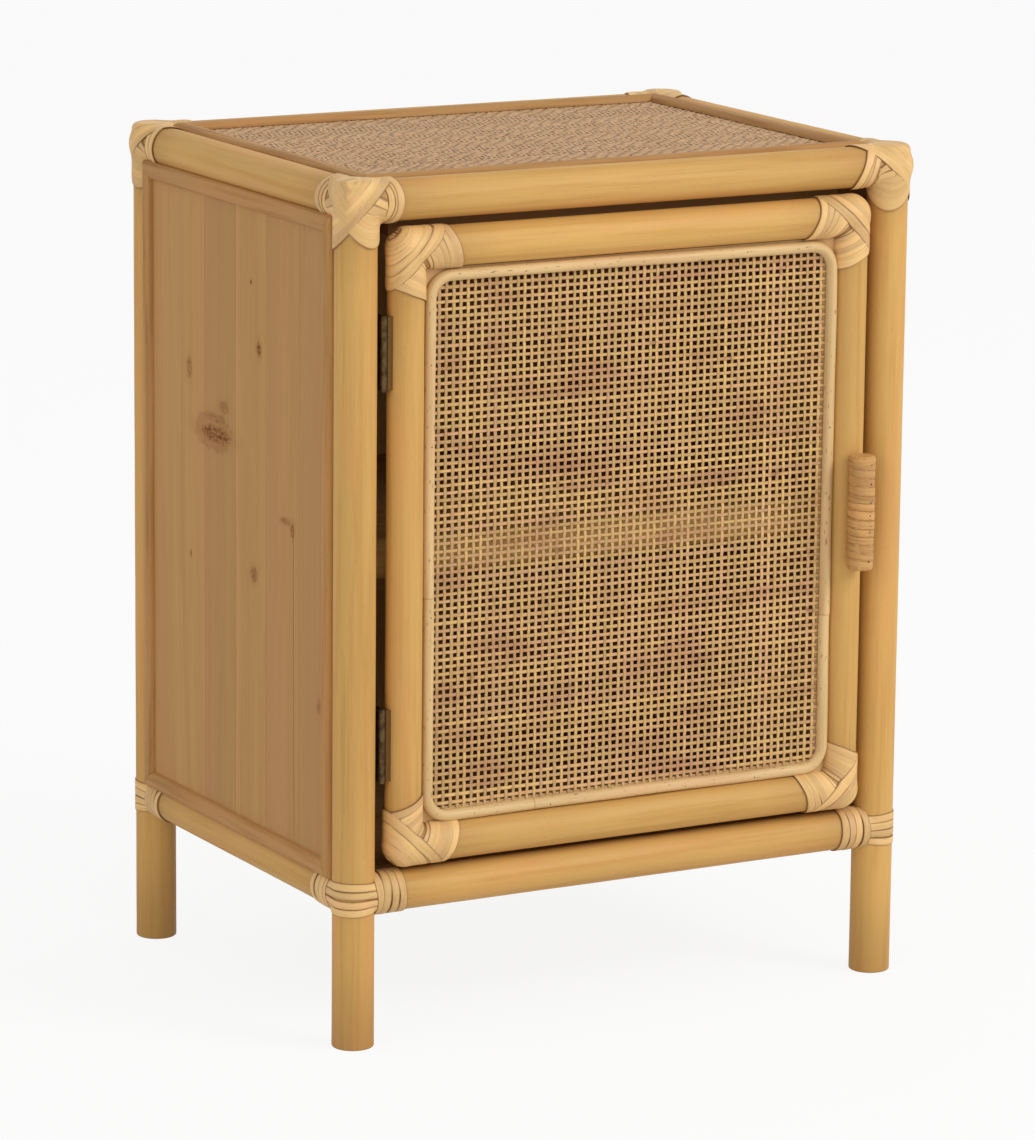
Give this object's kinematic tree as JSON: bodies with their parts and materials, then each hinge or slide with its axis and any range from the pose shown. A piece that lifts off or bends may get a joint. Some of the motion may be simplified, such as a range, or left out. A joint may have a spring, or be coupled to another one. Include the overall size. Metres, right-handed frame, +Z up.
{
  "type": "bedside cabinet",
  "caption": "Upright rattan pole cabinet with pine panels, a woven top, one shelf and a hinged door of open cane webbing with a wrapped handle.",
  "frame": {"origin": "centre of the box's underside, on the floor", "axes": "+X to the right of someone who faces the door, +Y from the door to the back, +Z up"},
  "size_m": [0.4528, 0.3675, 0.6016],
  "materials": {
    "pole": "clear satin lacquer over peeled rattan",
    "pine": "clear satin lacquer over pine staves",
    "cane_trim": "satin half-round cane",
    "cane_strip": "satin flat cane strip",
    "cane_ring": "satin half-round cane",
    "cane_webbing": "woven flat cane",
    "cane_mat": "finely woven cane mat",
    "cane_wrap": "wound flat cane",
    "aged_brass": "aged, dull",
    "steel": "zinc plated",
    "magnet": "ground",
    "brown_plastic": "moulded"
  },
  "bodies": {
    "frame": {"back_panel": "pine", "back_trim": "cane_trim", "battens": "pine", "bottom_binding_back_left": "cane_strip", "bottom_binding_back_right": "cane_strip", "bottom_binding_front_left": "cane_strip", "bottom_binding_front_right": "cane_strip", "bottom_rail_back": "pole", "bottom_rail_front": "pole", "bottom_rail_left": "pole", "bottom_rail_right": "pole", "catch_batten": "pine", "catch_housing": "brown_plastic", "catch_magnet": "magnet", "floor_panel": "pine", "frame_long_screws": "steel", "frame_small_screws": "steel", "hinge_frame_leaf_lower": "aged_brass", "hinge_frame_leaf_upper": "aged_brass", "hinge_pins": "aged_brass", "post_back_left": "pole", "post_back_right": "pole", "post_front_left": "pole", "post_front_right": "pole", "shelf_board": "pine", "shelf_pole": "pole", "side_panel_left": "pine", "side_panel_right": "pine", "side_trim_left": "cane_trim", "side_trim_right": "cane_trim", "top_binding_back_left": "cane_strip", "top_binding_back_right": "cane_strip", "top_binding_front_left": "cane_strip", "top_binding_front_right": "cane_strip", "top_mat": "cane_mat", "top_panel": "pine", "top_rail_back": "pole", "top_rail_front": "pole", "top_rail_left": "pole", "top_rail_right": "pole", "top_trim": "cane_trim"},
    "door": {"door_backing_frame": "pine", "door_binding_bottom_handle": "cane_strip", "door_binding_bottom_hinge": "cane_strip", "door_binding_top_handle": "cane_strip", "door_binding_top_hinge": "cane_strip", "door_long_screws": "steel", "door_rail_bottom": "pole", "door_rail_top": "pole", "door_ring": "cane_ring", "door_small_screws": "steel", "door_stile_handle": "pole", "door_stile_hinge": "pole", "door_webbing": "cane_webbing", "handle_core": "pole", "handle_wrap": "cane_wrap", "hinge_door_leaf_lower": "aged_brass", "hinge_door_leaf_upper": "aged_brass", "hinge_packers": "pine", "strike_plate": "steel"}
  },
  "joints": [
    {"name": "door_swing", "type": "hinge", "parent": "frame", "child": "door", "pos_m": [-0.1929, -0.15445, 0.3475], "axis": [0, 0, -1], "range_deg": [0, 100]}
  ]
}
